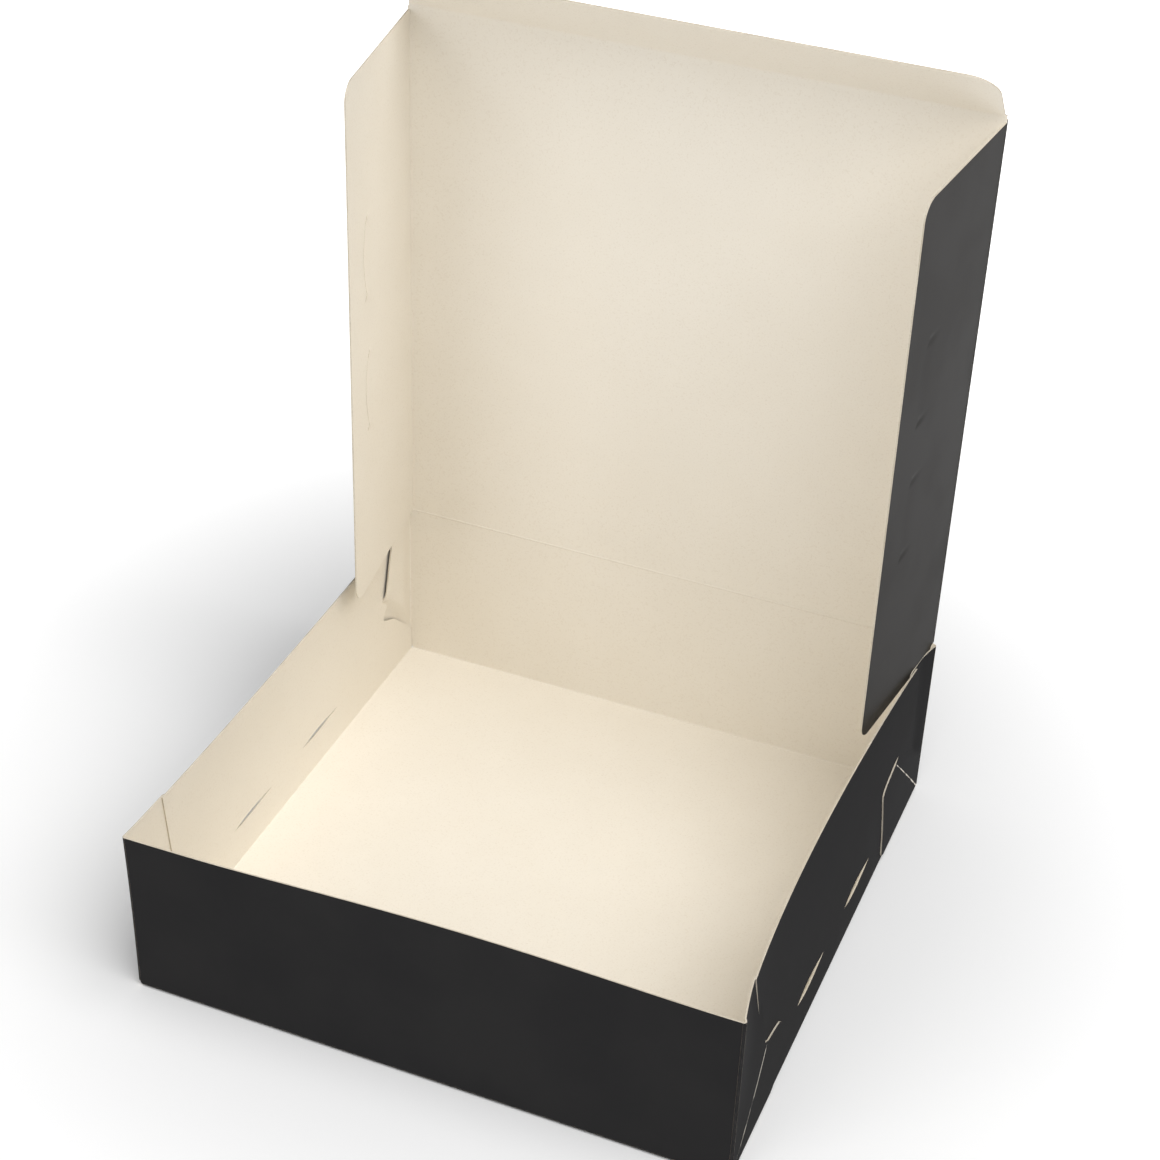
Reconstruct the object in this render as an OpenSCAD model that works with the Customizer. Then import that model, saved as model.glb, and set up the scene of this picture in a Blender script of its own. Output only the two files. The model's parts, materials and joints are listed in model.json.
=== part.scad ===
// Cake box folded from one blank of paperboard. A square tray with glued corner ears carries a lid
// on its back wall, and the lid has two side flaps and a tuck flap. The lid stands open, upright.
// Millimetres. +Z is up, the front wall faces -Y, the origin is the centre of the tray's underside.

/* [Board] */
// Thickness of the paperboard
board = 0.5; // [0.4:0.05:0.7]
// Outside radius of a fold in the tray
fold_r = 0.9; // [0.8:0.1:1.4]
// Clear gap along each hinged crease
crease_gap = 0.3; // [0.25:0.05:0.5]

/* [Tray] */
// Outside width, across the corner ears
box_w = 203; // [180:1:260]
// Outside depth, front wall to back wall
box_d = 203; // [180:1:260]
// Height of the walls
wall_h = 63.5; // [56:0.5:80]

/* [Corner ears] */
// Reach of an ear along the wall's top edge
ear_top = 20.5; // [15:0.5:25]
// Reach of an ear just above its glued tab
ear_waist = 26; // [22:0.5:32]
// Reach of a back tab at its upper corner
ear_reach = 51; // [44:0.5:60]
// Reach of a front tab at its upper corner
front_reach = 45; // [40:0.5:60]
// How much less a tab reaches along the base
foot_less = 5; // [0:0.5:8]
// Height of a back tab at the 45 degree crease
tab_h = 37; // [30:0.5:42]
// Height of a front tab at the 45 degree crease
front_tab_h = 30; // [28:0.5:42]
// Drop of a tab's upper edge from the crease to its end
tab_drop = 3; // [0:0.5:6]
// Height of an ear's lower edge above the table
ear_lift = 1.8; // [1.5:0.1:3]
// Width of the slit between an ear and the cut end of a side wall
ear_slit = 1; // [0.5:0.1:2]
// Height of a side wall's foot where it reaches the corner
foot_h = 8; // [4:0.5:12]
// Depth of the scored 45 degree crease
score_d = 0.15; // [0.1:0.05:0.2]
// Width of the scored 45 degree crease
score_w = 0.6; // [0.4:0.1:1]

/* [Locks] */
// Length of a lock slot in a side wall
slot_l = 27; // [18:0.5:30]
// Opening of a lock slot at its middle
slot_open = 2.2; // [1.4:0.1:3]
// Height of the lock slots above the table
slot_z = 15.5; // [12:0.5:22]
// Distance between the two lock slots of a side wall
slot_pitch = 50; // [40:1:64]
// Bow of the cut that frees a lock tongue in a side flap
tongue_d = 2.5; // [1.5:0.5:5]
// Length of the nick at each end of that cut
nick_l = 2.5; // [1:0.5:4]
// Width of the cut round a lock tongue
kerf = 0.4; // [0.3:0.1:0.8]

/* [Lid] */
// How much shorter the lid is than the tray
lid_short = 6; // [4:0.5:10]
// Play between a folded side flap and its side wall
side_play = 0.3; // [0.3:0.05:1.5]
// How much narrower a side flap is than the wall's height
flap_short = 1.5; // [1.5:0.5:6]
// Set-back of a side flap's front end at the crease
flap_end = 2; // [1.5:0.5:5]
// Set-back of a side flap's end next to the back wall
flap_low = 0.8; // [0.6:0.1:4]
// Extra taper of a side flap's front end at its free edge
flap_taper = 2; // [0:0.5:6]
// Corner radius of a side flap
flap_r = 6; // [3:0.5:12]
// Depth of the tuck flap
tuck_d = 24; // [20:0.5:34]
// Set-back of the tuck flap's ends from the lid's sides
tuck_end = 0.6; // [0.5:0.1:6]
// Corner radius of the tuck flap
tuck_r = 9.5; // [6:0.5:19]
// Fold of the side flaps from the plane of the lid, in degrees
flap_angle = 97; // [85:1:105]
// Fold of the tuck flap from the plane of the lid, in degrees
tuck_angle = 43; // [20:1:60]

/* [Hidden] */
$fn = 48;
// Outer face of a side wall, which is also the inner face of the ears
side_x = box_w / 2 - board;
// Clear end of a side wall, just inside the front or back wall
side_end = board + crease_gap;
// Hinge line of the lid: the middle of the board, just above the back wall
hinge_y = box_d / 2 - board / 2;
hinge_z = wall_h + crease_gap + board / 2;
// Hinge lines of the side flaps, so that a flap folded square clears its wall
flap_x = side_x - board - side_play - board / 2;
lid_l = box_d - lid_short;
flap_d = wall_h - flap_short;
// From a hinge line to the edge of the panel that carries the hinge
crease_edge = board / 2 + crease_gap;
// Where the lock tongues' cut edges lie, so that they face the slots with the lid shut
tongue_f = hinge_z - slot_z - tongue_d / 2;
// Length of a lock tongue, which passes its slot
tongue_l = slot_l - 1;

function unit(v) = v / norm(v);

// Signed turn from angle a to angle b, within half a turn
function turn(a, b) = (b - a) - 360 * round((b - a) / 360);

// Points of the arc that rounds corner p, between neighbours a and c, to radius r
function arc(a, p, c, r, n = 8) =
    let (
        u = unit(a - p),
        v = unit(c - p),
        half = acos(u * v) / 2,
        m = p + unit(u + v) * r / sin(half),
        s = p + u * r / tan(half) - m,
        e = p + v * r / tan(half) - m,
        a0 = atan2(s[1], s[0]),
        sweep = turn(a0, atan2(e[1], e[0]))
    )
    [for (i = [0:n]) m + r * [cos(a0 + sweep * i / n), sin(a0 + sweep * i / n)]];

// An outline whose points are [x, y, corner radius]
function rounded(pts) =
    let (n = len(pts), xy = [for (p = pts) [p[0], p[1]]])
    [
        for (i = [0:n - 1])
            each pts[i][2] > 0
                ? arc(xy[(i + n - 1) % n], xy[i], xy[(i + 1) % n], pts[i][2])
                : [xy[i]]
    ];

// A quarter of a folded edge in section
module bend() {
    difference() {
        intersection() {
            circle(fold_r);
            square(fold_r);
        }
        circle(fold_r - board);
    }
}

// Section of a panel with a wall folded up along each side
module channel(half, leg) {
    translate([fold_r - half, 0]) square([2 * (half - fold_r), board]);
    for (s = [0, 1]) mirror([s, 0]) {
        translate([half - fold_r, fold_r]) mirror([0, 1]) bend();
        translate([half - board, fold_r]) square([board, leg - fold_r]);
    }
}

// Stands a flat outline up: its x stays along X and its y becomes Z
module stand() {
    rotate([90, 0, 0]) children();
}

// Turns an outline drawn as [distance from the front, height] into a bar right across the box
module across() {
    translate([-box_w, -box_d / 2, 0]) rotate([90, 0, 90]) linear_extrude(2 * box_w) children();
}

// Both ends of the box, front and back
module both_ends() {
    for (s = [0, 1]) mirror([0, s, 0]) children();
}

// Base and side walls, with the walls' ends cut back behind the ears and their lock slots
module side_walls() {
    difference() {
        translate([0, box_d / 2 - side_end, 0])
            stand()
                linear_extrude(box_d - 2 * side_end) channel(side_x, wall_h);
        both_ends() across() polygon(rounded([
            [-5, foot_h, 0],
            [side_end, foot_h, 0],
            [12, foot_h + 11, 8],
            [ear_waist - 2, tab_h - 10, 4],
            [ear_waist + ear_slit, tab_h - 4, 2],
            [ear_top + ear_slit, wall_h, 0],
            [ear_top + ear_slit, wall_h + 5, 0],
            [-5, wall_h + 5, 0]
        ]));
        for (s = [-1, 1]) across() translate([box_d / 2 + s * slot_pitch / 2, slot_z]) lens();
    }
}

// Outline of a lock slot: a slit pushed open in the middle
module lens() {
    rise = slot_open / 2;
    r = (slot_l * slot_l / 4 + rise * rise) / (2 * rise);
    intersection() {
        translate([0, rise - r]) circle(r, $fn = 180);
        translate([0, r - rise]) circle(r, $fn = 180);
    }
}

// Front wall with the two ears that wrap round its corners, each with a tab of this height and reach
module end_wall(tab, reach) {
    waist = min(ear_waist, tab - 4);
    intersection() {
        translate([0, -box_d / 2, 0]) linear_extrude(wall_h) channel(box_w / 2, reach);
        across() polygon(rounded([
            [-5, fold_r, 0],
            [fold_r, fold_r, 0],
            [fold_r, ear_lift, 0],
            [reach - foot_less, ear_lift, 3],
            [reach, tab - tab_drop, 4],
            [tab, tab, 0],
            [waist, tab + 0.5, 2],
            [ear_top, wall_h, 2],
            [-5, wall_h, 0]
        ]));
    }
}

// Score lines at 45 degrees up both ears of an end wall, as high as their tabs
module ear_scores(tab) {
    for (s = [0, 1]) mirror([s, 0, 0])
        translate([box_w / 2 - score_d, -box_d / 2, 0])
            rotate([45, 0, 0])
                translate([0, 3, -score_w / 2])
                    cube([board, tab * sqrt(2) - 4, score_w]);
}

// Base strip with the folds that join it to the front and back walls
module base_folds() {
    translate([fold_r - side_x, 0, 0])
        rotate([90, 0, 90])
            linear_extrude(2 * (side_x - fold_r)) channel(box_d / 2, fold_r + 0.2);
}

// A panel of board lying flat, with its middle on the XY plane
module sheet(outline) {
    translate([0, 0, -board / 2]) linear_extrude(board) polygon(outline);
}

// The rounded edge of a hinged panel, along X from a to b
module bead(a, b) {
    translate([a, 0, 0]) rotate([0, 90, 0]) cylinder(r = board / 2, h = b - a);
}

// Side flap lying flat: its hinge is the X axis, its free edge is towards +Y
module side_flap() {
    s0 = flap_low;
    s1 = lid_l - flap_end;
    difference() {
        union() {
            sheet(rounded([
                [s0, 0, 0],
                [s1, 0, 0],
                [s1 - flap_taper, flap_d, flap_r],
                [s0, flap_d, flap_r]
            ]));
            bead(s0, s1);
        }
        for (s = [-1, 1]) translate([box_d / 2 + s * slot_pitch / 2, tongue_f, -board]) tongue_cut();
    }
}

// Cut that frees a lock tongue: an arc bowed towards the free edge, with a nick at each end
module tongue_cut() {
    r = (tongue_l * tongue_l / 4 + tongue_d * tongue_d) / (2 * tongue_d);
    linear_extrude(2 * board) {
        intersection() {
            translate([0, tongue_d - r]) difference() {
                circle(r + kerf / 2, $fn = 180);
                circle(r - kerf / 2, $fn = 180);
            }
            translate([-tongue_l / 2, -kerf]) square([tongue_l, tongue_d + 2 * kerf]);
        }
        for (a = [0, 180]) rotate(a)
            translate([tongue_l / 2 - kerf, 0])
                rotate(-50)
                    translate([0, -kerf / 2])
                        square([nick_l, kerf]);
    }
}

// Sets the right-hand side flap on its hinge line at the lid's edge
module hang_flap() {
    translate([flap_x, hinge_y, hinge_z])
        rotate([0, 0, -flap_angle])
            rotate([90, -90, 0])
                mirror([0, 1, 0])
                    side_flap();
}

module tray() {
    color("#2a2a2b") difference() {
        union() {
            side_walls();
            base_folds();
            end_wall(front_tab_h, front_reach);
            mirror([0, 1, 0]) end_wall(tab_h, ear_reach);
        }
        ear_scores(front_tab_h);
        mirror([0, 1, 0]) ear_scores(tab_h);
    }
}

module lid() {
    w = flap_x - crease_edge;
    color("#2a2a2b") translate([0, hinge_y, hinge_z]) stand() {
        sheet([[-w, 0], [w, 0], [w, lid_l - crease_edge], [-w, lid_l - crease_edge]]);
        bead(-w, w);
    }
}

module left_flap() {
    color("#2a2a2b") mirror([1, 0, 0]) hang_flap();
}

module right_flap() {
    color("#2a2a2b") hang_flap();
}

module front_flap() {
    w = flap_x - tuck_end;
    color("#2a2a2b") translate([0, hinge_y, hinge_z + lid_l]) rotate([tuck_angle, 0, 0]) stand() {
        sheet(rounded([[-w, 0, 0], [w, 0, 0], [w, tuck_d, tuck_r], [-w, tuck_d, tuck_r]]));
        bead(-w, w);
    }
}

tray();
lid();
left_flap();
right_flap();
front_flap();
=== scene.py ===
"""A folding cake box of thin board, black outside and cream inside, with its lid standing open.

Every panel is one sheet of board: a grid of points in its middle plane, given its thickness, with the
black face outside, the cream face inside and the raw cut along its rim. Sizes are in millimetres until
the mesh is written, which is in metres.
"""

from __future__ import annotations

import json
import logging
import math
from dataclasses import dataclass, field, replace
from enum import Enum, IntEnum

import bpy
import numpy as np
from mathutils import Matrix, Vector

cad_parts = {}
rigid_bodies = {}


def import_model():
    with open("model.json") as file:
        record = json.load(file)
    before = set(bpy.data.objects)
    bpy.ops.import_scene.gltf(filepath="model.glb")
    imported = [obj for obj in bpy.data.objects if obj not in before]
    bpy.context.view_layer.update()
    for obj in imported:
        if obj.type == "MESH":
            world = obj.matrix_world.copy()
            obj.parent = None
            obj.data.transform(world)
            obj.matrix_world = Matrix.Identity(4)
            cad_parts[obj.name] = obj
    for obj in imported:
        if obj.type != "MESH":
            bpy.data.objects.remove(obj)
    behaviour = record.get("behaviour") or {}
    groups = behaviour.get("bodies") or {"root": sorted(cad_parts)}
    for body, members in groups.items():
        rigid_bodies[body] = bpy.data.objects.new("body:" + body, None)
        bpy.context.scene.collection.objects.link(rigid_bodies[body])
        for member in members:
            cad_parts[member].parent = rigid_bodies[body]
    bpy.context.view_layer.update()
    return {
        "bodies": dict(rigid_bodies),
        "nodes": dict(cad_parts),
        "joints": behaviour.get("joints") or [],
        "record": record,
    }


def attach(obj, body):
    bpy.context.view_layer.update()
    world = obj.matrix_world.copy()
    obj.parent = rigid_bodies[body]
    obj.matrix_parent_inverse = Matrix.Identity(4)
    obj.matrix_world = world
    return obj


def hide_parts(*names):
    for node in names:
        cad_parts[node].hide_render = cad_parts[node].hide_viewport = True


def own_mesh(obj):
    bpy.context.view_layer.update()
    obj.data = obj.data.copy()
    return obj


LOG = logging.getLogger("cake_box")
MM = 0.001
TINY = 1e-6
# Millimetres that stand for a place with no cracked crease near it
FAR = 1000.0
# Steps in a millimetre by which the points of two grids are told apart
WELD_STEPS = 1e4
# Faces that meet at more than this are shaded apart
SHARP_ANGLE = math.radians(38)
# Steps round the quarter turn of a fold
FOLD_STEPS = 7
# Samples in the mean that softens a broken line
SOFT_SAMPLES = 13
# Places of the two colours and of the mixed colour among a Mix node's sockets
MIX_COLOURS = (6, 7)
MIX_RESULT = 2

Socket = bpy.types.NodeSocket
# The finishes of a sheet, in the order of Skin
Skins = list[bpy.types.Material]
Triple = tuple[float, float, float]
# A broken line, as its stations and their values
Profile = tuple[tuple[float, ...], tuple[float, ...]]


class Way(Enum):
    """One of two opposite ways, by the sign along an axis."""

    @property
    def label(self) -> str:
        """The way as part of a piece's name."""
        return self.name.lower()


class Side(Way):
    """The side of the box, by the sign of x."""

    LEFT = -1
    RIGHT = 1


class End(Way):
    """The end of the box, by the sign of y."""

    FRONT = -1
    BACK = 1


class Skin(IntEnum):
    """The faces of a sheet of board, by material slot."""

    OUTSIDE = 0
    INSIDE = 1
    CUT = 2


# Finishes


@dataclass
class Nodes:
    """A node tree with short calls to add and join nodes."""

    tree: bpy.types.NodeTree

    def add(self, kind: str, **values: object) -> bpy.types.Node:
        """Adds one node.

        Args:
            kind: The node's Blender type.
            **values: Node properties, or unlinked inputs by name with spaces as underscores.

        Returns:
            The new node.
        """
        node = self.tree.nodes.new(kind)
        for name, value in values.items():
            label = name.replace("_", " ")
            if label in node.inputs:
                node.inputs[label].default_value = value
            else:
                setattr(node, name, value)
        return node

    def join(self, value: object, into: Socket) -> None:
        """Links an output to an input, or sets the input to a value."""
        if isinstance(value, Socket):
            self.tree.links.new(value, into)
        else:
            into.default_value = value

    def maths(self, operation: str, a: object, b: object = 0.0) -> Socket:
        """Adds a Math node.

        Args:
            operation: The Math node's operation.
            a: The first socket or number.
            b: The second socket or number.

        Returns:
            The result socket.
        """
        node = self.add("ShaderNodeMath", operation=operation)
        for place, value in enumerate((a, b)):
            self.join(value, node.inputs[place])
        return node.outputs[0]

    def ramp(self, value: Socket, low: float, high: float, start: float = 0.0, end: float = 1.0) -> Socket:
        """Carries a value smoothly from one range to another.

        Args:
            value: The socket to carry over.
            low: The value that gives start.
            high: The value that gives end.
            start: The lower result.
            end: The upper result.

        Returns:
            The result socket, held within start and end.
        """
        node = self.add("ShaderNodeMapRange", interpolation_type="SMOOTHSTEP",
                        From_Min=low, From_Max=high, To_Min=start, To_Max=end)
        self.join(value, node.inputs["Value"])
        return node.outputs["Result"]

    def tint(self, share: Socket, first: object, second: object) -> Socket:
        """Mixes two colours.

        Args:
            share: How much of the second colour shows.
            first: A colour socket, or red, green and blue.
            second: A colour socket, or red, green and blue.

        Returns:
            The mixed colour.
        """
        node = self.add("ShaderNodeMix", data_type="RGBA")
        self.join(share, node.inputs[0])
        for place, value in zip(MIX_COLOURS, (first, second)):
            self.join(value if isinstance(value, Socket) else (*value, 1.0), node.inputs[place])
        return node.outputs[MIX_RESULT]


class BoardEffects:
    """The node groups that the board's finishes share, each built once."""

    PULP_RELIEF = 0.6

    def __init__(self) -> None:
        """Builds both groups."""
        self.fibre = self._fibre()
        self.wear = self._wear()

    @staticmethod
    def _group(name: str, inputs: list[str], outputs: list[str]) -> tuple[Nodes, dict, dict]:
        """Opens a new shader group.

        Args:
            name: The group's name.
            inputs: Input names.
            outputs: Output names.

        Returns:
            The node tree, the input sockets by name and the output sockets by name.
        """
        tree = bpy.data.node_groups.new(name, "ShaderNodeTree")
        for way, labels in (("INPUT", inputs), ("OUTPUT", outputs)):
            for label in labels:
                tree.interface.new_socket(label, in_out=way, socket_type="NodeSocketFloat")
        nodes = Nodes(tree)
        start, end = nodes.add("NodeGroupInput"), nodes.add("NodeGroupOutput")
        return nodes, dict(start.outputs.items()), dict(end.inputs.items())

    def _fibre(self) -> bpy.types.NodeTree:
        """Paper fibre: fine noise for the felt of the fibres, broad noise for uneven pulp.

        Returns:
            The group, with a height, a fine tone and a broad tone, the tones from 0 to 1.
        """
        nodes, given, result = self._group(
            "paper_fibre", ["Fibre Scale", "Pulp Scale"], ["Height", "Fibre", "Pulp"])
        place = nodes.add("ShaderNodeTexCoord").outputs["Object"]
        fine = nodes.add("ShaderNodeTexNoise", Detail=4.0, Roughness=0.65)
        broad = nodes.add("ShaderNodeTexNoise", Detail=3.0, Roughness=0.5)
        for noise, scale in ((fine, "Fibre Scale"), (broad, "Pulp Scale")):
            nodes.join(place, noise.inputs["Vector"])
            nodes.join(given[scale], noise.inputs["Scale"])
        fibre = nodes.ramp(fine.outputs["Fac"], low=0.3, high=0.7)
        pulp = nodes.ramp(broad.outputs["Fac"], low=0.28, high=0.72)
        lump = nodes.maths("MULTIPLY", broad.outputs["Fac"], self.PULP_RELIEF)
        nodes.join(nodes.maths("ADD", fine.outputs["Fac"], lump), result["Height"])
        nodes.join(fibre, result["Fibre"])
        nodes.join(pulp, result["Pulp"])
        return nodes.tree

    def _wear(self) -> bpy.types.NodeTree:
        """Fold wear: the map named fold gives metres from the corner crease in x and fold strength in y.

        Returns:
            The group, with a crack mask along the creases and a rub mask over the folds.
        """
        nodes, given, result = self._group("fold_wear", ["Crack Width", "Rub"], ["Crack", "Rubbed"])
        marks = nodes.add("ShaderNodeUVMap", uv_map="fold")
        split = nodes.add("ShaderNodeSeparateXYZ")
        nodes.join(marks.outputs["UV"], split.inputs["Vector"])
        place = nodes.add("ShaderNodeTexCoord").outputs["Object"]
        ragged = nodes.add("ShaderNodeTexNoise", Scale=620.0, Detail=3.0, Roughness=0.7)
        broken = nodes.add("ShaderNodeTexNoise", Scale=150.0, Detail=2.0, Roughness=0.5)
        for noise in (ragged, broken):
            nodes.join(place, noise.inputs["Vector"])
        breaks = nodes.ramp(broken.outputs["Fac"], low=0.36, high=0.56, start=0.25, end=1.8)
        reach = nodes.maths("MULTIPLY", ragged.outputs["Fac"], given["Crack Width"])
        reach = nodes.maths("MULTIPLY", reach, breaks)
        inside = nodes.maths("DIVIDE", nodes.maths("ABSOLUTE", split.outputs["X"]),
                             nodes.maths("MAXIMUM", reach, TINY))
        nodes.join(nodes.ramp(inside, low=1.35, high=0.75), result["Crack"])
        rub = nodes.maths("MULTIPLY", split.outputs["Y"], given["Rub"])
        spots = nodes.ramp(ragged.outputs["Fac"], low=0.42, high=0.68)
        nodes.join(nodes.maths("MULTIPLY", rub, spots), result["Rubbed"])
        return nodes.tree


@dataclass(frozen=True)
class PaperFinish:
    """One face of the board: bare pulp with its own fibre."""

    name: str
    colour: Triple
    deep: Triple
    speck: Triple
    roughness: tuple[float, float]
    fibre_scale: float
    pulp_scale: float
    bump: float
    gloss: float
    relief: float = 0.00012

    def _start(self, effects: BoardEffects
               ) -> tuple[bpy.types.Material, Nodes, bpy.types.Node, bpy.types.Node]:
        """Opens the material with its shader and fibre group.

        Args:
            effects: The shared node groups.

        Returns:
            The material, its nodes, the shader and the fibre group.
        """
        material = bpy.data.materials.new(self.name)
        material.use_nodes = True
        nodes = Nodes(material.node_tree)
        shader = material.node_tree.nodes["Principled BSDF"]
        fibre = nodes.add("ShaderNodeGroup", node_tree=effects.fibre,
                          Fibre_Scale=self.fibre_scale, Pulp_Scale=self.pulp_scale)
        bump = nodes.add("ShaderNodeBump", Strength=self.bump, Distance=self.relief)
        nodes.join(fibre.outputs["Height"], bump.inputs["Height"])
        nodes.join(bump.outputs["Normal"], shader.inputs["Normal"])
        nodes.join(self.gloss, shader.inputs["Specular IOR Level"])
        return material, nodes, shader, fibre

    def material(self, effects: BoardEffects) -> bpy.types.Material:
        """Builds the finish: two pulp tones, darker flecks where the fibre is thin, rougher on the felt.

        Args:
            effects: The shared node groups.

        Returns:
            The material.
        """
        material, nodes, shader, fibre = self._start(effects)
        colour = nodes.tint(fibre.outputs["Pulp"], self.colour, self.deep)
        fleck = nodes.ramp(fibre.outputs["Fibre"], low=0.35, high=0.0, end=0.5)
        nodes.join(nodes.tint(fleck, colour, self.speck), shader.inputs["Base Color"])
        felt = nodes.ramp(fibre.outputs["Fibre"], 0.0, 1.0, *self.roughness)
        nodes.join(felt, shader.inputs["Roughness"])
        return material


@dataclass(frozen=True)
class CoatedFinish(PaperFinish):
    """The printed face of the board, cracked along the corner creases and rubbed over the folds."""

    bare: Triple = (0.78, 0.73, 0.64)
    crack_width: float = 0.00030
    crack_dull: float = 0.4
    rub: float = 0.5
    rub_dull: float = 0.25

    def material(self, effects: BoardEffects) -> bpy.types.Material:
        """Builds the finish: low-gloss ink, bare board in the cracks, a paler and duller film on the folds.

        Args:
            effects: The shared node groups.

        Returns:
            The material.
        """
        material, nodes, shader, fibre = self._start(effects)
        wear = nodes.add("ShaderNodeGroup", node_tree=effects.wear,
                         Crack_Width=self.crack_width, Rub=self.rub)
        colour = nodes.tint(fibre.outputs["Pulp"], self.colour, self.deep)
        colour = nodes.tint(wear.outputs["Rubbed"], colour, self.speck)
        nodes.join(nodes.tint(wear.outputs["Crack"], colour, self.bare), shader.inputs["Base Color"])
        gloss = nodes.ramp(fibre.outputs["Pulp"], 0.0, 1.0, *self.roughness)
        rubbed = nodes.maths("MULTIPLY", wear.outputs["Rubbed"], self.rub_dull)
        cracked = nodes.maths("MULTIPLY", wear.outputs["Crack"], self.crack_dull)
        dull = nodes.maths("ADD", rubbed, cracked)
        nodes.join(nodes.maths("ADD", gloss, dull), shader.inputs["Roughness"])
        return material


@dataclass(frozen=True)
class BoardFinishes:
    """The board's finishes: its black face, the flaps' black face (a lit copy of it with more gloss and a
    painted warm reflection tint), its cream face and its cut.
    """

    outside: CoatedFinish = CoatedFinish(
        name="black_coat", colour=(0.0238, 0.0234, 0.0242), deep=(0.0276, 0.0270, 0.0273),
        speck=(0.060, 0.057, 0.054), roughness=(0.46, 0.54), fibre_scale=1100.0, pulp_scale=28.0, bump=0.10,
        gloss=0.004)
    # The flaps' black: a lit copy of the black coat, though the real sheet is one print. It has more gloss,
    # lower roughness and a warm brown tint that is painted reflection of the cream inside.
    satin: CoatedFinish = replace(
        outside, name="black_satin", colour=(0.0240, 0.0222, 0.0208), deep=(0.0276, 0.0258, 0.0242),
        roughness=(0.33, 0.39), gloss=0.017)
    inside: PaperFinish = PaperFinish(
        name="cream_pulp", colour=(0.885, 0.832, 0.735), deep=(0.874, 0.819, 0.719),
        speck=(0.78, 0.71, 0.60), roughness=(0.72, 0.92), fibre_scale=1500.0, pulp_scale=42.0, bump=0.22,
        gloss=0.3)
    cut: PaperFinish = PaperFinish(
        name="cut_edge", colour=(0.72, 0.655, 0.545), deep=(0.62, 0.552, 0.445),
        speck=(0.42, 0.36, 0.28), roughness=(0.85, 0.97), fibre_scale=2600.0, pulp_scale=160.0, bump=0.45,
        gloss=0.25)

    def materials(self) -> tuple[Skins, Skins]:
        """Builds the materials, both black ones first, then cream and cut.

        Returns:
            The materials of the panels and those of the flaps, each in the order of Skin.
        """
        effects = BoardEffects()
        finishes = (self.outside, self.satin, self.inside, self.cut)
        black, satin, cream, cut = (finish.material(effects) for finish in finishes)
        return [black, cream, cut], [satin, cream, cut]


# Board


@dataclass(frozen=True)
class Surface:
    """A mesh as arrays: points, four-sided faces, each face's Skin, and each point's pair of fold marks."""

    points: np.ndarray
    faces: np.ndarray
    skin: np.ndarray
    marks: np.ndarray

    def place(self, name: str, materials: Skins, body: str, node: str) -> bpy.types.Object:
        """Puts the mesh into a new object that rides on a body.

        Args:
            name: The piece's name.
            materials: The finishes.
            body: The body that the piece rides on.
            node: The solid that it stands for.

        Returns:
            The new object.
        """
        mesh = bpy.data.meshes.new(name)
        mesh.from_pydata((self.points * MM).tolist(), [], self.faces.tolist())
        mesh.polygons.foreach_set("material_index", self.skin.astype(np.int32))
        mesh.polygons.foreach_set("use_smooth", np.ones(len(self.faces), bool))
        layer = mesh.uv_layers.new(name="fold")
        layer.data.foreach_set("uv", self.marks[self.faces.reshape(-1)].astype(np.float32).ravel())
        for material in materials:
            mesh.materials.append(material)
        mesh.set_sharp_from_angle(angle=SHARP_ANGLE)
        mesh.update()
        piece = bpy.data.objects.new(name, mesh)
        bpy.context.scene.collection.objects.link(piece)
        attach(piece, body)
        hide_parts(node)
        LOG.info("%s: %d faces on %s", name, len(self.faces), body)
        return piece


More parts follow.
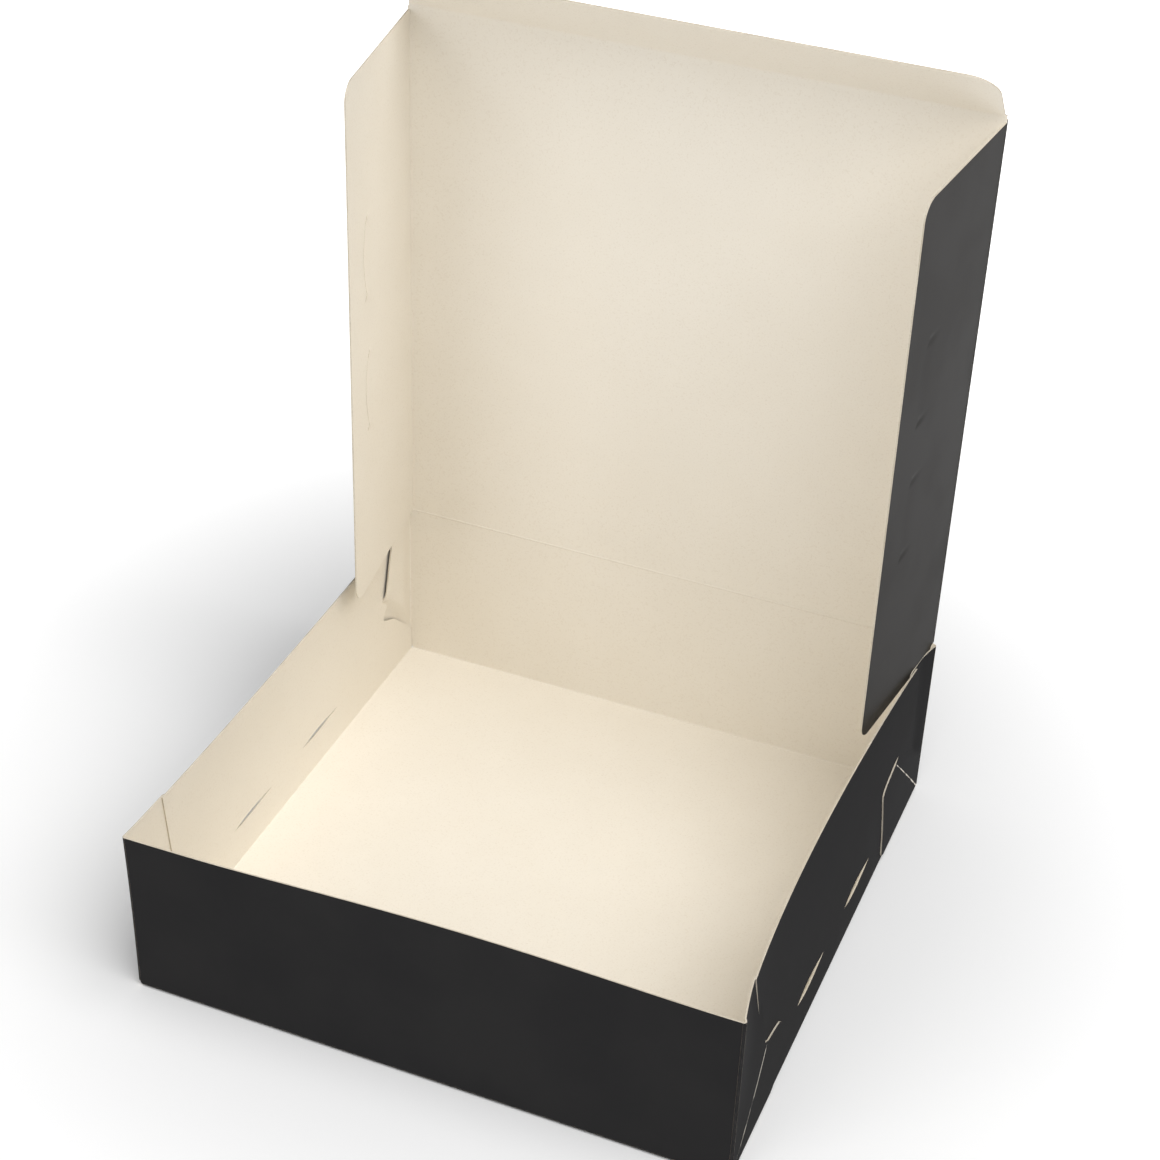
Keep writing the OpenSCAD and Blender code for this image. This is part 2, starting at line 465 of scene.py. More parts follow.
@dataclass
class Sheet:
    """One piece of board, from grids of points in its middle plane that meet along shared edges."""

    name: str
    inner: Triple
    thickness: float
    grids: list[np.ndarray] = field(default_factory=list)
    marks: list[np.ndarray] = field(default_factory=list)

    def lay(self, points: np.ndarray, crease: np.ndarray | float = FAR,
            fold: np.ndarray | float = 0.0) -> None:
        """Adds one grid.

        Args:
            points: The middle plane's points, rows by columns by three.
            crease: Distance of each point from the cracked crease.
            fold: How much each point is part of a fold, from 0 to 1.
        """
        shape = points.shape[:2]
        mark = np.stack((np.broadcast_to(np.asarray(crease) * MM, shape), np.broadcast_to(fold, shape)), -1)
        self.grids.append(np.asarray(points, float))
        self.marks.append(mark)

    def _merged(self) -> tuple[np.ndarray, np.ndarray, np.ndarray]:
        """Joins the grids: equal points become one, and each cell of a grid is one four-sided face.

        Returns:
            The points, the faces as indices, and the marks of the points.
        """
        points = np.concatenate([grid.reshape(-1, 3) for grid in self.grids])
        marks = np.concatenate([mark.reshape(-1, 2) for mark in self.marks])
        faces, first = [], 0
        for grid in self.grids:
            index = first + np.arange(grid.shape[0] * grid.shape[1]).reshape(grid.shape[:2])
            cells = (index[:-1, :-1], index[1:, :-1], index[1:, 1:], index[:-1, 1:])
            faces.append(np.stack(cells, -1).reshape(-1, 4))
            first += index.size
        _, kept, to = np.unique(np.round(points * WELD_STEPS).astype(np.int64), axis=0,
                                return_index=True, return_inverse=True)
        return points[kept], to.reshape(-1)[np.concatenate(faces)], marks[kept]

    def surface(self) -> Surface:
        """Gives the sheet its thickness: half of it along the mean normal of each point, both ways.

        The middle plane's faces are turned so that they look away from the inner point. The rim joins
        the two skins along every edge that belongs to a single face.

        Returns:
            The closed mesh.
        """
        points, faces, marks = self._merged()
        corner = points[faces]
        normal = np.cross(corner[:, 2] - corner[:, 0], corner[:, 3] - corner[:, 1])
        away = corner.mean(1) - np.asarray(self.inner)
        if np.einsum("ij,ij->i", normal, away).sum() < 0:
            faces, normal = faces[:, ::-1], -normal
        mean = np.zeros_like(points)
        for place in range(faces.shape[1]):
            np.add.at(mean, faces[:, place], normal)
        mean /= np.linalg.norm(mean, axis=1, keepdims=True)
        step = mean * self.thickness / 2
        edges = np.stack((faces, np.roll(faces, -1, axis=1)), -1).reshape(-1, 2)
        _, first, count = np.unique(np.sort(edges, axis=1), axis=0, return_index=True, return_counts=True)
        start, end = edges[first[count == 1]].T
        total = len(points)
        rim = np.stack((end, start, start + total, end + total), -1)
        every = np.concatenate((faces, faces[:, ::-1] + total, rim))
        skin = np.repeat((Skin.OUTSIDE, Skin.INSIDE, Skin.CUT), (len(faces), len(faces), len(rim)))
        return Surface(np.concatenate((points + step, points - step)), every, skin,
                       np.concatenate((marks, marks)))

    def build(self, materials: Skins, body: str) -> bpy.types.Object:
        """Writes the sheet into the scene, on the body that has the name of the solid it stands for."""
        return self.surface().place(self.name, materials, body, body)


def mesh_grid(rows: np.ndarray, columns: np.ndarray) -> tuple[np.ndarray, np.ndarray]:
    """Two parameters on a grid, the first along the rows."""
    return np.meshgrid(rows, columns, indexing="ij")


def quarter_turn(steps: int) -> np.ndarray:
    """Angles from nought to a right angle."""
    return np.linspace(0.0, math.pi / 2, steps)


def corner_rows(reach: float, radius: float, steps: int) -> np.ndarray:
    """Distances from a crease to the free edge at its reach, from where its round corners start."""
    return reach - radius * (1 - np.sin(quarter_turn(steps)))


def rounding(gap: np.ndarray, radius: float) -> np.ndarray:
    """How far an edge draws in at a round corner: r less the root of r squared less (r less gap) squared."""
    rest = np.clip(radius - gap, 0.0, radius)
    return radius - np.sqrt(radius**2 - rest**2)


def softened(at: np.ndarray, line: Profile, reach: float) -> np.ndarray:
    """A broken line with its corners softened: at each place, its mean over a short reach both ways."""
    steps = np.linspace(-reach, reach, SOFT_SAMPLES)
    return np.interp(np.asarray(at)[..., None] + steps, *line).mean(-1)


def smooth(value: np.ndarray) -> np.ndarray:
    """Three v squared less two v cubed, with v held from 0 to 1."""
    held = np.clip(value, 0.0, 1.0)
    return held * held * (3.0 - 2.0 * held)


# Panels


@dataclass(frozen=True)
class Blank:
    """The sizes that the panels share."""

    board: float = 0.5
    fold_r: float = 0.9
    width: float = 203.0
    depth: float = 203.0
    height: float = 63.5
    ear_lift: float = 1.8
    lid_length: float = 197.0
    crease: float = 0.55
    lid_play: float = 1.55
    slack: float = 0.35
    slot_z: float = 15.5
    slot_pitch: float = 50.0
    slot_length: float = 27.0

    @property
    def half_w(self) -> float:
        """Half the outside width."""
        return self.width / 2

    @property
    def half_d(self) -> float:
        """Half the outside depth."""
        return self.depth / 2

    @property
    def fold_mid(self) -> float:
        """The radius of a fold's middle plane."""
        return self.fold_r - self.board / 2

    @property
    def side_x(self) -> float:
        """The outer face of a side wall, which the ears lie on."""
        return self.half_w - self.board

    @property
    def hinge_y(self) -> float:
        """The lid crease's distance back."""
        return self.half_d - self.board / 2

    @property
    def hinge_z(self) -> float:
        """The lid crease's height."""
        return self.height + self.crease

    @property
    def flap_x(self) -> float:
        """The side flaps' crease, from the middle of the lid."""
        return self.half_w - self.lid_play

    @property
    def tray_middle(self) -> Triple:
        """A point inside the tray."""
        return (0.0, 0.0, self.height / 2)

    @property
    def lid_middle(self) -> Triple:
        """A point in front of the open lid."""
        return (0.0, 0.0, self.hinge_z + self.lid_length / 2)

    def foot(self, z: np.ndarray) -> np.ndarray:
        """Height above the base's folds, as a share of the walls' height."""
        return (z - self.fold_r) / (self.height - self.fold_r)


@dataclass(frozen=True)
class Bow:
    """How a wall that nothing holds at its top leans in between its corners.

    Places along it go from -1 to 1, and heights are a share of the wall's.
    """

    depth: float
    lean: float = 0.0
    power: float = 0.75
    centre: float = 0.0

    def inward(self, along: np.ndarray, up: np.ndarray) -> np.ndarray:
        """Depth, by one less the squared place to the power, by the lean, by the square of height."""
        across = np.clip(1 - ((along - self.centre) / (1 - abs(self.centre))) ** 2, 0.0, None) ** self.power
        return self.depth * across * (1 - self.lean * along) * np.clip(up, 0.0, 1.0) ** 2


@dataclass(frozen=True)
class Lean:
    """How far a corner of the tray is pushed out of square at the rim."""

    across: float = 0.0
    back: float = 0.0

    def shift(self, foot: np.ndarray, share: np.ndarray | float = 1.0) -> np.ndarray:
        """The movement of each point: the lean, by the square of its height and by its share of the lean."""
        return (share * np.clip(foot, 0.0, 1.0) ** 2)[..., None] * np.array((self.across, self.back, 0.0))


@dataclass
class Panel:
    """A panel cut from the blank."""

    blank: Blank
    materials: Skins

    def tray_sheet(self, name: str) -> Sheet:
        """An empty sheet of the tray."""
        return Sheet(name, self.blank.tray_middle, self.blank.board)

    def lid_sheet(self, name: str) -> Sheet:
        """An empty sheet of the lid."""
        return Sheet(name, self.blank.lid_middle, self.blank.board)


@dataclass
class TrayFloor(Panel):
    """The base with the folds along its four sides."""

    cells: int = 48

    def build(self) -> None:
        """A flat grid, and a quarter round up each of its sides."""
        size = self.blank
        sheet = self.tray_sheet("tray_floor")
        reach_x, reach_y = size.side_x - size.fold_r, size.half_d - size.fold_r
        xs, ys = (np.linspace(-reach, reach, self.cells) for reach in (reach_x, reach_y))
        x, y = mesh_grid(xs, ys)
        sheet.lay(np.stack((x, y, np.full_like(x, size.board / 2)), -1))
        for sign in (-1, 1):
            for reach, runs, axes, way in ((reach_x, ys, [0, 1, 2], sign), (reach_y, xs, [1, 0, 2], -sign)):
                turn, run = mesh_grid(quarter_turn(FOLD_STEPS), runs)
                across = sign * (reach + size.fold_mid * np.sin(turn))
                up = size.fold_r - size.fold_mid * np.cos(turn)
                sheet.lay(np.stack((across, run, up), -1)[:, ::way, axes], fold=np.sin(2 * turn))
        sheet.build(self.materials, "tray")


@dataclass
class CornerFold(Panel):
    """The upright fold between an end wall and one of its ears."""

    side: Side
    end: End
    lean: Lean
    rows: int = 24

    def build(self) -> None:
        """A quarter round carried up from the foot of the ear to the rim, straight but for the lean."""
        size = self.blank
        turn, z = mesh_grid(quarter_turn(FOLD_STEPS), np.linspace(size.ear_lift, size.height, self.rows))
        x = self.side.value * (size.half_w - size.fold_r + size.fold_mid * np.sin(turn))
        y = self.end.value * (size.half_d - size.fold_r + size.fold_mid * np.cos(turn))
        sheet = self.tray_sheet(f"corner_fold_{self.end.label}_{self.side.label}")
        sheet.lay(np.stack((x, y, z), -1) + self.lean.shift(size.foot(z)), fold=np.sin(2 * turn))
        sheet.build(self.materials, "tray")


@dataclass
class EndWall(Panel):
    """The front or the back wall, between its corner folds."""

    end: End
    bow: Bow
    top: float
    leans: dict[Side, Lean]
    columns: int = 90
    rows: int = 34

    def build(self) -> None:
        """A flat grid that leans in by the bow, and at its ends follows the lean of the corners."""
        size = self.blank
        reach = size.half_w - size.fold_r
        x, z = mesh_grid(np.linspace(-reach, reach, self.columns),
                         np.linspace(size.fold_r, self.top, self.rows))
        foot, along = size.foot(z), x / reach
        y = self.end.value * (size.half_d - size.board / 2 - self.bow.inward(along, foot))
        points = np.stack((x, y, z), -1)
        for side, lean in self.leans.items():
            points = points + lean.shift(foot, (1 + side.value * along) / 2)
        sheet = self.tray_sheet(f"{self.end.label}_wall")
        sheet.lay(points)
        sheet.build(self.materials, "tray")


@dataclass
class SideWall(Panel):
    """A side wall, cut back at both ends behind the ears, with its two lock slots.

    The cuts are heights, and how far the wall stops short of the corner at each.
    """

    side: Side
    bow: Bow
    slot_open: float
    slot_skew: float = 0.4
    front_cut: Profile = (
        (0.0, 8.0, 19.0, 27.0, 33.0, 63.5),
        (0.8, 0.8, 12.0, 22.5, 24.5, 20.0))
    back_cut: Profile = (
        (0.0, 9.0, 13.1, 24.7, 28.2, 29.8, 33.0, 38.0, 63.5),
        (0.8, 0.8, 3.9, 16.7, 25.0, 26.0, 22.0, 20.5, 16.5))
    cut_round: float = 1.6
    columns: int = 163
    rows_below: int = 14
    rows_above: int = 44

    def _opening(self, y: np.ndarray) -> np.ndarray:
        """Half the height of the slots: one less the square of the place along each, fuller to the front."""
        near = (y - np.where(y < 0, -0.5, 0.5) * self.blank.slot_pitch) / (self.blank.slot_length / 2)
        return self.slot_open / 2 * np.clip(1 - near**2, 0.0, None) * (1 - self.slot_skew * near)

    def build(self) -> None:
        """Two grids drawn in by the bow, below and above the slots' line, that part only along the slots."""
        size = self.blank
        plane = size.side_x - size.board / 2
        sheet = self.tray_sheet(f"{self.side.label}_wall")
        across = np.linspace(-1.0, 1.0, self.columns)
        for low, high, rows, way in ((size.fold_r, size.slot_z, self.rows_below, -1),
                                     (size.slot_z, size.height, self.rows_above, 1)):
            level, share = mesh_grid(np.linspace(low, high, rows), across)
            front, back = (size.half_d - softened(level, cut, self.cut_round)
                           for cut in (self.front_cut, self.back_cut))
            y = share * np.where(share < 0, front, back)
            away = 1 - np.abs(level - size.slot_z) / (high - low)
            z = level + self._opening(y) * away * way
            x = self.side.value * (plane - self.bow.inward(y / size.half_d, size.foot(z)))
            sheet.lay(np.stack((x, y, z), -1))
        piece = sheet.build(self.materials, "tray")
        plane = self.side.value * plane
        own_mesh(piece)


@dataclass(frozen=True)
class Tuck:
    """How far the loose triangle of an ear slips behind the side wall's cut end."""

    depth: float
    start: float = 4.0
    rise: float = 10.0
    swell: float = 0.0
    spread: float = 12.0
    ease: float = 0.0
    swell_at: float = 4.0
    swell_width: float = 6.0

    def inward(self, out: np.ndarray, z: np.ndarray, tab: float) -> np.ndarray:
        """Depth, smoothed in over the rise above the crease, less a bell-shaped swell along the crease.

        The rise starts higher above the crease by the ease for each millimetre below the tab's top.

        Args:
            out: Distance from the corner.
            z: Height.
            tab: Height of the tab.

        Returns:
            The distance inwards in millimetres.
        """
        above, away = z - out, smooth(out / self.spread)
        start = self.start + self.ease * np.clip(tab - z, 0.0, None)
        swell = self.swell * np.exp(-(((above - self.swell_at) / self.swell_width) ** 2))
        return away * (self.depth * smooth((above - start) / self.rise) - swell)


@dataclass(frozen=True)
class EarShape:
    """An ear's outline: the tab's height, and the reach from the corner at the tab, the waist and the rim."""

    tab: float
    reach: float
    waist: float
    top: float
    foot_round: float = 3.0

    def edge(self, z: np.ndarray, size: Blank) -> np.ndarray:
        """The ear's free edge, up from the slanted foot and in over the tab's end to the waist and the rim.

        Args:
            z: Height.
            size: The sizes that the panels share.

        Returns:
            The reach from the corner at each height, with the corners of the outline rounded.
        """
        tab, reach, waist, top, rim = self.tab, self.reach, self.waist, self.top, size.height
        heights, reaches = zip(
            (size.ear_lift, reach - 5.0), (tab - 6.5, reach - 0.6),
            (tab - 4.4, reach - 0.8), (tab - 3.0, reach - 2.4), (tab - 2.0, reach - 5.4), (tab, tab),
            (tab + 0.5, waist + 2.0), (tab + 1.6, waist - 0.2),
            (rim - 1.6, top + 0.4), (rim - 0.5, top - 0.5), (rim, top - 1.9))
        return np.interp(z, heights, reaches) - rounding(z - size.ear_lift, self.foot_round)


@dataclass
class CornerEar(Panel):
    """An ear of an end wall: the loose triangle above the corner crease and the glued tab below it."""

    side: Side
    end: End
    bow: Bow
    tuck: Tuck
    lean: Lean
    shape: EarShape
    lean_fade: float = 6.0
    bow_run: float = 1.6
    crack_stop: float = 0.4
    columns: int = 64

    def build(self) -> None:
        """A grid on the outside of the side wall, from the corner fold to the ear's edge at each height.

        All of it keeps to the side wall's bow. Above the 45 degree crease it swells a little and then
        crosses the wall's cut end to its inside, by the tuck. The corner's lean dies away along it.
        The rows are bands of heights, closer where the outline turns at the tab and at the rim.
        """
        size, tab, rim = self.blank, self.shape.tab, self.blank.height
        bands = ((size.ear_lift, tab - 7.0, 34), (tab - 6.6, tab + 1.6, 30),
                 (tab + 2.2, rim - 2.7, 28), (rim - 2.3, rim, 10))
        levels = np.concatenate([np.linspace(*band) for band in bands])
        z, share = mesh_grid(levels, np.linspace(0.0, 1.0, self.columns))
        out = size.fold_r + share * (self.shape.edge(z, size) - size.fold_r)
        y = self.end.value * (size.half_d - out)
        foot = size.foot(z)
        held = np.clip((out - size.fold_r) / self.bow_run, 0.0, 1.0)
        plane = size.half_w - size.board / 2
        inward = held * self.bow.inward(y / size.half_d, foot) + self.tuck.inward(out, z, tab)
        x = self.side.value * (plane - inward)
        sheet = self.tray_sheet(f"ear_{self.end.label}_{self.side.label}")
        crease = np.where(out > tab - self.crack_stop, FAR, (out - z) / math.sqrt(2))
        lean = self.lean.shift(foot, np.exp((size.fold_r - out) / self.lean_fade))
        sheet.lay(np.stack((x, y, z), -1) + lean, crease=crease)
        piece = sheet.build(self.materials, "tray")
        plane = self.side.value * plane
        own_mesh(piece)


@dataclass
class Lid(Panel):
    """The lid panel, standing up in line with the back wall."""

    sway: float = 0.5
    cells: int = 70

    def build(self) -> None:
        """A flat grid between the creases, swayed by a product of half waves that ends at every crease."""
        size = self.blank
        x, s = mesh_grid(np.linspace(-size.flap_x, size.flap_x, self.cells),
                         np.linspace(size.slack, size.lid_length, self.cells))
        wave = np.cos(math.pi * x / (2 * size.flap_x)) * np.sin(math.pi * s / size.lid_length)
        y = size.hinge_y + self.sway * wave
        sheet = self.lid_sheet("lid_panel")
        sheet.lay(np.stack((x, y, size.hinge_z + s), -1))
        sheet.build(self.materials, "lid")


@dataclass
class SideFlap(Panel):
    """A flap of the lid, folded forwards, with its two lock tongues.

    Along the flap, places are measured up from the lid crease. Low and high are where it ends there, by the
    distance from its own crease.
    """

    side: Side
    angle: float = 97.0
    short: float = 1.5
    low: Profile = ((0.0, 62.0), (0.1, -1.9))
    high: tuple[float, float] = (195.0, 193.0)
    corner: float = 6.0
    tongue_play: float = 1.0
    tongue_bow: float = 2.5
    nick: float = 2.5
    nick_hook: float = 1.6
    nick_fade: float = 0.8
    nick_lift: float = 1.5
    lift_lead: float = 1.0
    lift_run: float = 1.5
    spring: float = -0.1
    spring_fade: float = 5.0
    columns: int = 260
    rows_in: int = 30
    rows_out: int = 8
    rows_corner: int = 9
    plain_share: float = 0.62

    @property
    def reach(self) -> float:
        """The distance from the crease to the free edge."""
        return self.blank.height - self.short

    @property
    def tongue_out(self) -> float:
        """The distance from the crease to the tongues, which face the slots when the lid is shut."""
        return self.blank.hinge_z - self.blank.slot_z - self.tongue_bow / 2

    def _cut(self, s: np.ndarray) -> tuple[np.ndarray, np.ndarray]:
        """The line of the tongues' cuts: a shallow arc on each, with a nick that turns out at its ends.

        Args:
            s: Place along the flap.

        Returns:
            The cut's distance from the crease, and how far the lip moves: 1 along the arc, more on the
            nicks, and 0 past them.
        """
        size = self.blank
        span = (size.slot_length - self.tongue_play) / 2
        middle = s - size.half_d
        local = np.abs(middle) - size.slot_pitch / 2
        past = np.abs(local) - span
        arc = self.tongue_bow * np.clip(1 - (np.abs(local) / span) ** 2, 0.0, None) - self.tongue_bow / 2
        hook = np.where(past > 0, np.clip(1 - np.abs(past - self.nick) / self.nick, 0, None), 0.0)
        line = self.tongue_out + arc - self.nick_hook * hook * np.sign(local * np.sign(middle))
        nicked = smooth((self.nick - past) / self.nick_fade)
        return line, nicked * (1 + self.nick_lift * smooth((past + self.lift_lead) / self.lift_run))

    def _strip(self, share: np.ndarray, start: float, stop: float, tongues: bool) -> np.ndarray:
        """One strip of the flap on one side of the cut line.

        Args:
            share: The rows' places from the strip's start to its stop.
            start: The strip's first distance from the crease.
            stop: Its last distance from the crease.
            tongues: Whether the strip ends at the cut line and holds the tongues, or starts at it.

        Returns:
            Distances from the crease, places along the flap and the rise off its plane, for each point.
        """
        v, u = mesh_grid(np.unique(share), np.linspace(0.0, 1.0, self.columns))
        f = start + v * (stop - start)
        drawn = rounding(self.reach - f, self.corner)
        low = np.interp(f, *self.low) + drawn
        high = np.interp(f, (0.0, self.reach), self.high) - drawn
        s = low + u * (high - low)
        line, cut = self._cut(s)
        f = f + (line - self.tongue_out) * (v if tongues else 1 - v)
        rise = self.spring * cut * np.exp(-(((line - f) / self.spring_fade) ** 2)) * tongues
        return np.stack((f, s, rise), -1)

    def build(self) -> None:
        """Two grids that meet along the cut line: the tongues spring off it a little, the rest stays flat.

        The end that hangs below the rim draws clear of the back wall as the lid turns.
        """
        size = self.blank
        turn, sign = math.radians(self.angle), self.side.value
        axes = np.array(((sign * math.cos(turn), -math.sin(turn), 0.0), (0.0, 0.0, 1.0),
                         (sign * math.sin(turn), math.cos(turn), 0.0)))
        root = np.array((sign * size.flap_x, size.hinge_y, size.hinge_z))
        sheet = self.lid_sheet(f"{self.side.label}_flap_panel")
        tip = corner_rows(self.reach, self.corner, self.rows_corner)[1:]
        outer = np.concatenate((np.linspace(0.0, self.plain_share, self.rows_out),
                                (tip - self.tongue_out) / (self.reach - self.tongue_out)))
        sheet.lay(root + self._strip(np.linspace(0.0, 1.0, self.rows_in), 0.0, self.tongue_out, True) @ axes)
        sheet.lay(root + self._strip(outer, self.tongue_out, self.reach, False) @ axes)
        piece = sheet.build(self.materials, f"{self.side.label}_flap")
        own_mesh(piece)


@dataclass
class TuckFlap(Panel):
    """The lid's front flap, half folded, with its round corners."""

    angle: float = 43.0
    reach: float = 24.0
    side_gap: float = 0.6
    corner: float = 9.5
    columns: int = 110
    rows: int = 8
    rows_corner: int = 16

    def build(self) -> None:
        """A grid from the crease to the free edge, drawn in at each height by the round corners."""
        size = self.blank
        turn = math.radians(self.angle)
        depth = np.concatenate((np.linspace(0.0, self.reach - self.corner, self.rows)[:-1],
                                corner_rows(self.reach, self.corner, self.rows_corner)))
        f, u = mesh_grid(depth, np.linspace(-1.0, 1.0, self.columns))
        x = u * (size.flap_x - self.side_gap - rounding(self.reach - f, self.corner))
        y = size.hinge_y - f * math.sin(turn)
        z = size.hinge_z + size.lid_length + f * math.cos(turn)
        sheet = self.lid_sheet("front_flap_panel")
        sheet.lay(np.stack((x, y, z), -1))
        sheet.build(self.materials, "front_flap")


@dataclass
class CreaseBead:
    """The swollen line that creasing raises in the board along a hinge of the lid."""

    name: str
    start: Triple
    stop: Triple
    outward: Triple
    radius: float = 0.40
    sides: int = 16
    rings: int = 40
    fold: float = 0.6

    def build(self, materials: Skins) -> None:
        """A circle carried along the crease, closed by a cap at each end, black on its outer half.

        Args:
            materials: The finishes.
        """
        first, last, out = (np.asarray(value, float) for value in (self.start, self.stop, self.outward))
        other = np.cross((last - first) / np.linalg.norm(last - first), out)
        half_step = math.pi / self.sides
        share, turn = mesh_grid(np.linspace(0.0, 1.0, self.rings),
                                np.arange(self.sides) * 2 * half_step + half_step)
        ring = np.cos(turn)[..., None] * out + np.sin(turn)[..., None] * other
        points = (first + share[..., None] * (last - first) + self.radius * ring).reshape(-1, 3)
        index = np.arange(len(points)).reshape(-1, self.sides)
        after = np.roll(index, -1, axis=1)
        tube = np.stack((index[:-1], after[:-1], after[1:], index[1:]), -1).reshape(-1, 4)
        black = np.cos(turn[0] + half_step) > -TINY
        skin = np.tile(np.where(black, int(Skin.OUTSIDE), int(Skin.INSIDE)), self.rings - 1)
        there, back = index[0, :self.sides // 2], index[0, self.sides // 2:][::-1]
        cap = np.stack((there[:-1], there[1:], back[1:], back[:-1]), -1)
        faces = np.concatenate((tube, cap[:, ::-1], cap + index[-1, 0]))
        skin = np.concatenate((skin, np.full(len(cap) * 2, int(Skin.CUT))))
        marks = np.broadcast_to((FAR * MM, self.fold), (len(points), 2))
        Surface(points, faces, skin, marks).place(self.name, materials, "lid", "lid")


# Setting


@dataclass(frozen=True)
class Lamp:
    """A square soft lamp, in metres and watts."""

    name: str
    place: Triple
    aim: Triple
    width: float
    power: float

    def hang(self) -> None:
        """Puts the lamp at its place, turned to its aim."""
        lamp = bpy.data.lights.new(self.name, "AREA")
        lamp.shape, lamp.size, lamp.energy = "SQUARE", self.width, self.power
        stand = bpy.data.objects.new(self.name, lamp)
        stand.location = self.place
        stand.rotation_euler = (Vector(self.aim) - Vector(self.place)).to_track_quat("-Z", "Y").to_euler()
        bpy.context.scene.collection.objects.link(stand)


@dataclass
class Studio:
    """The floor, the soft light and the camera. The floor and the lamps are in metres."""

    azimuth: float = 21.019
    elevation: float = 34.702
    roll: float = 2.286
    distance: float = 765.3
    target: Triple = (6.7, 0.0, 126.9)
    lens: float = 75.98
    sensor: float = 36.0
    clip_start: float = 0.01
    floor_reach: float = 4.0
    floor_drop: float = 0.0004
    sky: float = 0.25
    lamps: tuple[Lamp, ...] = (
        Lamp("key_lamp", (1.30, -0.72, 2.84), aim=(0, 0, 0.08), width=3.0, power=92.0),
        Lamp("front_lamp", (-1.28, -2.56, 0.90), aim=(0, 0, 0.12), width=1.8, power=21.5))

    @staticmethod
    def _seen(nodes: Nodes) -> Socket:
        """One for what the camera sees, directly, mirrored or through glass, and nought for lighting.

        Args:
            nodes: The node tree to work in.

        Returns:
            The result socket.
        """
        rays = nodes.add("ShaderNodeLightPath").outputs
        mirrored = nodes.maths("ADD", rays["Is Glossy Ray"], rays["Is Transmission Ray"])
        return nodes.maths("MINIMUM", nodes.maths("ADD", rays["Is Camera Ray"], mirrored), 1.0)

    def floor(self) -> None:
        """A wide pale floor, lit by the lamps near the box and seen as plain white far from it."""
        mesh = bpy.data.meshes.new("floor")
        corners = np.array(((-1, -1, 0), (1, -1, 0), (1, 1, 0), (-1, 1, 0))) * self.floor_reach
        mesh.from_pydata((corners - (0, 0, self.floor_drop)).tolist(), [], [(0, 1, 2, 3)])
        ground = bpy.data.objects.new("floor", mesh)
        bpy.context.scene.collection.objects.link(ground)
        material = bpy.data.materials.new("floor_white")
        material.use_nodes = True
        nodes = Nodes(material.node_tree)
        shader = material.node_tree.nodes["Principled BSDF"]
        for label, value in (("Base Color", (0.95, 0.95, 0.95, 1.0)), ("Roughness", 0.9),
                             ("Specular IOR Level", 0.1), ("Emission Color", (1.0, 1.0, 1.0, 1.0))):
            nodes.join(value, shader.inputs[label])
        far = nodes.add("ShaderNodeVectorMath", operation="LENGTH")
        nodes.join(nodes.add("ShaderNodeTexCoord").outputs["Object"], far.inputs[0])
        glow = nodes.ramp(far.outputs["Value"], low=0.08, high=0.5, end=0.7)
        nodes.join(nodes.maths("MULTIPLY", glow, self._seen(nodes)), shader.inputs["Emission Strength"])
        mesh.materials.append(material)

    def light(self) -> None:
        """A large lamp from the upper right of the front, a weaker one from the left, and an even sky."""
        for lamp in self.lamps:
            lamp.hang()
        world = bpy.data.worlds.new("even_sky")
        world.use_nodes = True
        nodes = Nodes(world.node_tree)
        sky = world.node_tree.nodes["Background"]
        nodes.join((1.0, 1.0, 1.0, 1.0), sky.inputs["Color"])
        nodes.join(nodes.ramp(self._seen(nodes), low=0.0, high=1.0, start=self.sky), sky.inputs["Strength"])
        bpy.context.scene.world = world

    def camera(self) -> None:
        """Sets the camera on a sphere round its target, by azimuth and elevation, turned by its roll."""
        turn, rise, tilt = (math.radians(value) for value in (self.azimuth, self.elevation, self.roll))
        back = Vector((math.sin(turn) * math.cos(rise), -math.cos(turn) * math.cos(rise), math.sin(rise)))
        level = Vector((math.cos(turn), math.sin(turn), 0.0))
        up = back.cross(level)
        right = math.cos(tilt) * level + math.sin(tilt) * up
        top = math.cos(tilt) * up - math.sin(tilt) * level
        lens = bpy.data.cameras.new("photo_camera")
        lens.lens, lens.sensor_width, lens.clip_start = self.lens, self.sensor, self.clip_start
        stand = bpy.data.objects.new("photo_camera", lens)
        spot = (Vector(self.target) + back * self.distance) * MM
        frame = Matrix((right, top, back)).transposed().to_4x4()
        stand.matrix_world = Matrix.Translation(spot) @ frame
        bpy.context.scene.collection.objects.link(stand)
        bpy.context.scene.camera = stand


# Box


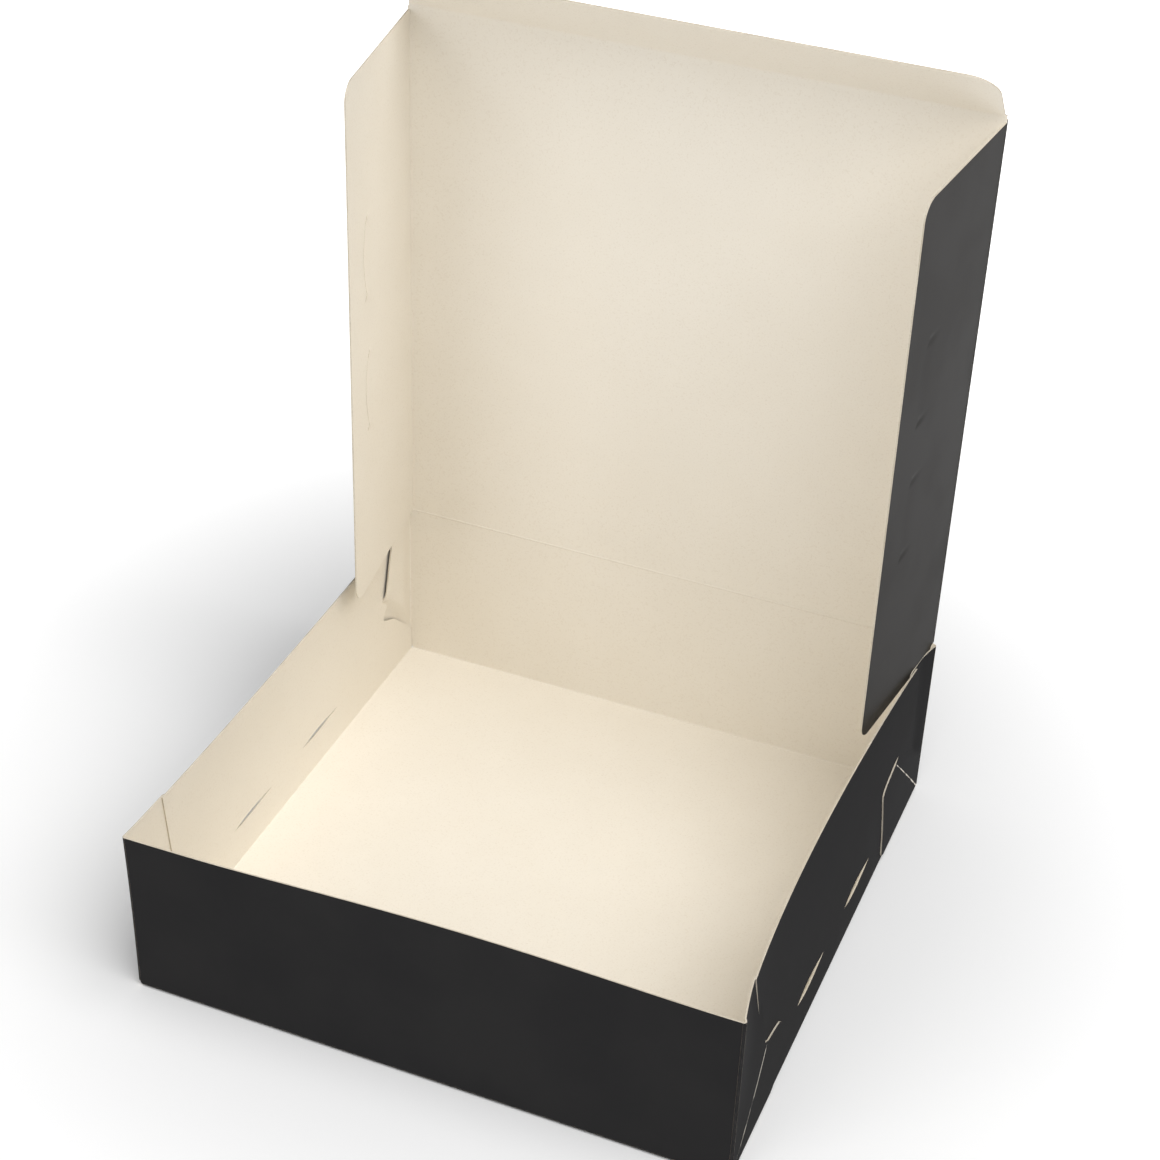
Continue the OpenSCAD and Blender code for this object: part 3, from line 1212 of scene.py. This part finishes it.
@dataclass
class CakeBox:
    """The whole box: the tray with its walls and ears, and the lid with its three flaps."""

    blank: Blank
    panels: Skins
    flaps: Skins
    bead_lift: float = 0.4
    bead_short: float = 1.0
    tuck_bead_turn: float = 0.375

    def tray(self) -> None:
        """Builds the base, the walls, the corner folds and the ears."""
        size, skin = self.blank, self.panels
        TrayFloor(size, skin).build()
        leans = {End.FRONT: {Side.LEFT: Lean(0.0, -1.7), Side.RIGHT: Lean(-0.4, 1.6)},
                 End.BACK: {side: Lean() for side in Side}}
        front_bow = Bow(2.3, power=2.0, centre=0.1)
        EndWall(size, skin, End.FRONT, front_bow, size.height, leans[End.FRONT]).build()
        EndWall(size, skin, End.BACK, Bow(0.0), size.hinge_z - size.slack, leans[End.BACK]).build()
        shapes = {End.FRONT: EarShape(tab=30.0, reach=45.0, waist=28.0, top=23.0),
                  End.BACK: EarShape(tab=37.0, reach=51.0, waist=26.0, top=20.5)}
        left_tucks = {End.FRONT: Tuck(0.0), End.BACK: Tuck(1.9, start=9.0, rise=8.0, swell=0.7)}
        right_tucks = {End.FRONT: Tuck(0.9, start=4.0, rise=40.0, spread=22.0),
                       End.BACK: Tuck(1.25, start=1.5, rise=6.0, ease=0.6)}
        for side, bow, slot_open, tucks in ((Side.LEFT, Bow(1.8, lean=0.1), 1.5, left_tucks),
                                            (Side.RIGHT, Bow(5.55, lean=0.25), 3.2, right_tucks)):
            SideWall(size, skin, side, bow, slot_open).build()
            for end in End:
                lean = leans[end][side]
                CornerFold(size, skin, side, end, lean).build()
                CornerEar(size, skin, side, end, bow, tucks[end], lean, shapes[end]).build()

    def lid(self) -> None:
        """Builds the lid, its flaps and the creases between them."""
        size, skin = self.blank, self.panels
        Lid(size, skin).build()
        hanging = ((0.0, 1.8, 2.6, 24.0, 62.0), (0.1, 0.1, -2.3, -2.3, -1.9))
        SideFlap(size, self.flaps, Side.LEFT).build()
        SideFlap(size, self.flaps, Side.RIGHT, low=hanging).build()
        TuckFlap(size, self.flaps).build()
        wide, y, low, high = size.flap_x, size.hinge_y, size.hinge_z, size.hinge_z + size.lid_length
        turn, slant = self.tuck_bead_turn, math.sqrt(0.5)
        CreaseBead("lid_crease", (-wide, y, low), (wide, y, low), (0, 1, 0)).build(skin)
        CreaseBead("front_flap_crease", (-wide, y, high), (wide, y, high),
                   (0, math.cos(turn), math.sin(turn))).build(skin)
        for side in Side:
            x = side.value * wide
            CreaseBead(f"{side.label}_flap_crease", (x, y, low + self.bead_lift),
                       (x, y, high - self.bead_short), (side.value * slant, slant, 0)).build(skin)


def main() -> None:
    """Loads the frame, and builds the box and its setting."""
    logging.basicConfig(level=logging.INFO, format="%(name)s %(message)s")
    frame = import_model()
    box = CakeBox(Blank(), *BoardFinishes().materials())
    box.tray()
    box.lid()
    studio = Studio()
    studio.floor()
    studio.light()
    studio.camera()
    bpy.context.scene.view_settings.view_transform = "Standard"


if __name__ == "__main__":
    main()
